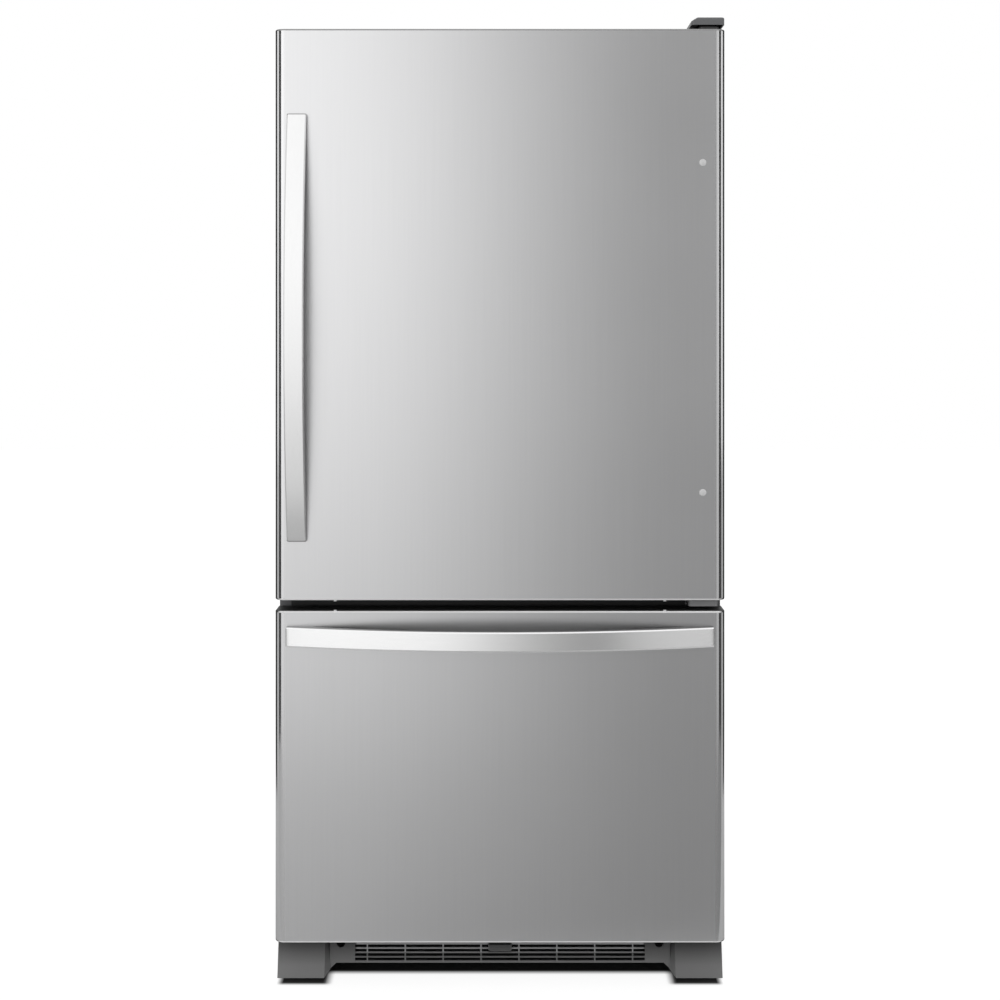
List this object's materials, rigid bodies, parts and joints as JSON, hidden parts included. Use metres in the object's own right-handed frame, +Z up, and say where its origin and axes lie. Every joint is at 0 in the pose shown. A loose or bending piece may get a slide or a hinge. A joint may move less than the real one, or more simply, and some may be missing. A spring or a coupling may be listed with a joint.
{
  "type": "bottom freezer refrigerator",
  "caption": "Stainless bottom freezer refrigerator with a hinged upper door, a pull-out freezer drawer, bowed bar handles and a slotted base grille.",
  "frame": {"origin": "on the floor, at the middle of the footprint with the handles counted in", "axes": "+X to the right seen from the front, -Y out of the front, +Z up"},
  "size_m": [0.829, 0.873, 1.787],
  "materials": {
    "stainless": "satin",
    "handle_metal": "satin",
    "cabinet_paint": "satin",
    "zinc_sheet": "satin",
    "grey_plastic": "satin",
    "cap_plastic": "satin",
    "foam": "matte",
    "liner_white": "satin",
    "gasket_rubber": "matte",
    "hinge_steel": "satin",
    "plug_plastic": "satin",
    "clear_plastic": "gloss",
    "trim_white": "satin",
    "shelf_glass": "gloss",
    "track_paint": "satin",
    "dial_plastic": "satin",
    "lens_plastic": "satin",
    "slide_steel": "satin",
    "basket_plastic": "satin",
    "fin_aluminium": "satin",
    "condenser_paint": "satin",
    "compressor_paint": "gloss",
    "motor_metal": "satin",
    "fan_plastic": "satin",
    "pan_plastic": "matte",
    "grommet_rubber": "matte",
    "cover_board": "matte",
    "screw_steel": "satin",
    "leg_plastic": "satin",
    "roller_plastic": "satin"
  },
  "bodies": {
    "cabinet": {"side_panel_left": "cabinet_paint", "side_panel_right": "cabinet_paint", "top_panel": "cabinet_paint", "back_panel": "zinc_sheet", "base_deck": "zinc_sheet", "fridge_foam": "foam", "freezer_foam": "foam", "fridge_liner": "liner_white", "freezer_liner": "liner_white", "mullion_rail": "cabinet_paint", "door_hinges": "hinge_steel", "hinge_cover": "grey_plastic", "base_grille": "grey_plastic", "base_brackets": "zinc_sheet", "machine_cover": "cover_board", "compressor": "compressor_paint", "grommets": "grommet_rubber", "condenser": "condenser_paint", "fan_motors": "motor_metal", "drip_pan": "pan_plastic", "evaporator": "fin_aluminium", "evaporator_cover": "liner_white", "control_housing": "trim_white", "light_lens": "lens_plastic", "shelf_tracks": "track_paint", "shelf_frames": "trim_white", "shelf_glasses": "shelf_glass", "crisper_cover": "trim_white", "freezer_slide_rails": "slide_steel", "screws": "screw_steel"},
    "fridge_door": {"fridge_door_skin": "stainless", "fridge_door_caps": "cap_plastic", "fridge_door_foam": "foam", "fridge_door_liner": "liner_white", "fridge_door_gasket": "gasket_rubber", "fridge_handle": "handle_metal", "hole_plugs": "plug_plastic", "door_bins": "clear_plastic", "dairy_box": "liner_white"},
    "dairy_lid": {"dairy_lid": "clear_plastic"},
    "freezer_drawer": {"freezer_door_skin": "stainless", "freezer_door_caps": "cap_plastic", "freezer_door_foam": "foam", "freezer_door_liner": "liner_white", "freezer_door_gasket": "gasket_rubber", "freezer_handle": "handle_metal", "freezer_drawer_rails": "slide_steel", "freezer_basket": "basket_plastic"},
    "slide_middles": {"freezer_slide_middles": "slide_steel"},
    "freezer_tray": {"freezer_tray": "basket_plastic"},
    "crisper_left": {"crisper_left": "clear_plastic"},
    "crisper_right": {"crisper_right": "clear_plastic"},
    "humidity_slider": {"humidity_slider": "trim_white"},
    "temperature_dial": {"temperature_dial": "dial_plastic"},
    "evaporator_fan": {"evaporator_fan": "fan_plastic"},
    "condenser_fan": {"condenser_fan": "fan_plastic"},
    "leg_left": {"leg_left": "leg_plastic"},
    "leg_right": {"leg_right": "leg_plastic"},
    "roller_left": {"roller_left": "roller_plastic"},
    "roller_right": {"roller_right": "roller_plastic"}
  },
  "joints": [
    {"name": "fridge_door_hinge", "type": "hinge", "parent": "cabinet", "child": "fridge_door", "pos_m": [0.3925, -0.3465, 0.713], "axis": [0, 0, 1], "range_deg": [0, 120]},
    {"name": "dairy_lid_hinge", "type": "hinge", "parent": "fridge_door", "child": "dairy_lid", "pos_m": [-0.1839, -0.3062, 1.5677], "axis": [1, 0, 0], "range_deg": [0, 75]},
    {"name": "freezer_drawer_slide", "type": "slide", "parent": "cabinet", "child": "freezer_drawer", "axis": [0, -1, 0], "range_m": [0, 0.4]},
    {"name": "freezer_middle_slide", "type": "slide", "parent": "cabinet", "child": "slide_middles", "axis": [0, -1, 0], "range_m": [0, 0.2]},
    {"name": "freezer_tray_slide", "type": "slide", "parent": "freezer_drawer", "child": "freezer_tray", "axis": [0, 1, 0], "range_m": [0, 0.1]},
    {"name": "crisper_left_slide", "type": "slide", "parent": "cabinet", "child": "crisper_left", "axis": [0, -1, 0], "range_m": [0, 0.14]},
    {"name": "crisper_right_slide", "type": "slide", "parent": "cabinet", "child": "crisper_right", "axis": [0, -1, 0], "range_m": [0, 0.14]},
    {"name": "humidity_slide", "type": "slide", "parent": "cabinet", "child": "humidity_slider", "axis": [1, 0, 0], "range_m": [0, 0.04]},
    {"name": "temperature_dial_turn", "type": "hinge", "parent": "cabinet", "child": "temperature_dial", "pos_m": [-0.09, -0.2005, 1.6787], "axis": [0, -1, 0], "range_deg": [-135, 135]},
    {"name": "evaporator_fan_spin", "type": "hinge", "parent": "cabinet", "child": "evaporator_fan", "pos_m": [0, 0.3202, 0.606], "axis": [0, 1, 0], "continuous": true},
    {"name": "condenser_fan_spin", "type": "hinge", "parent": "cabinet", "child": "condenser_fan", "pos_m": [0.096, 0.3115, 0.1448], "axis": [1, 0, 0], "continuous": true},
    {"name": "leg_left_screw", "type": "slide", "parent": "cabinet", "child": "leg_left", "axis": [0, 0, 1], "range_m": [-0.015, 0]},
    {"name": "leg_right_screw", "type": "slide", "parent": "cabinet", "child": "leg_right", "axis": [0, 0, 1], "range_m": [-0.015, 0]},
    {"name": "roller_left_spin", "type": "hinge", "parent": "cabinet", "child": "roller_left", "pos_m": [-0.345, 0.37, 0.022], "axis": [1, 0, 0], "continuous": true},
    {"name": "roller_right_spin", "type": "hinge", "parent": "cabinet", "child": "roller_right", "pos_m": [0.345, 0.37, 0.022], "axis": [1, 0, 0], "continuous": true}
  ],
  "couplings": [
    {"joint": "freezer_middle_slide", "follows": "freezer_drawer_slide", "ratio": 0.5}
  ]
}
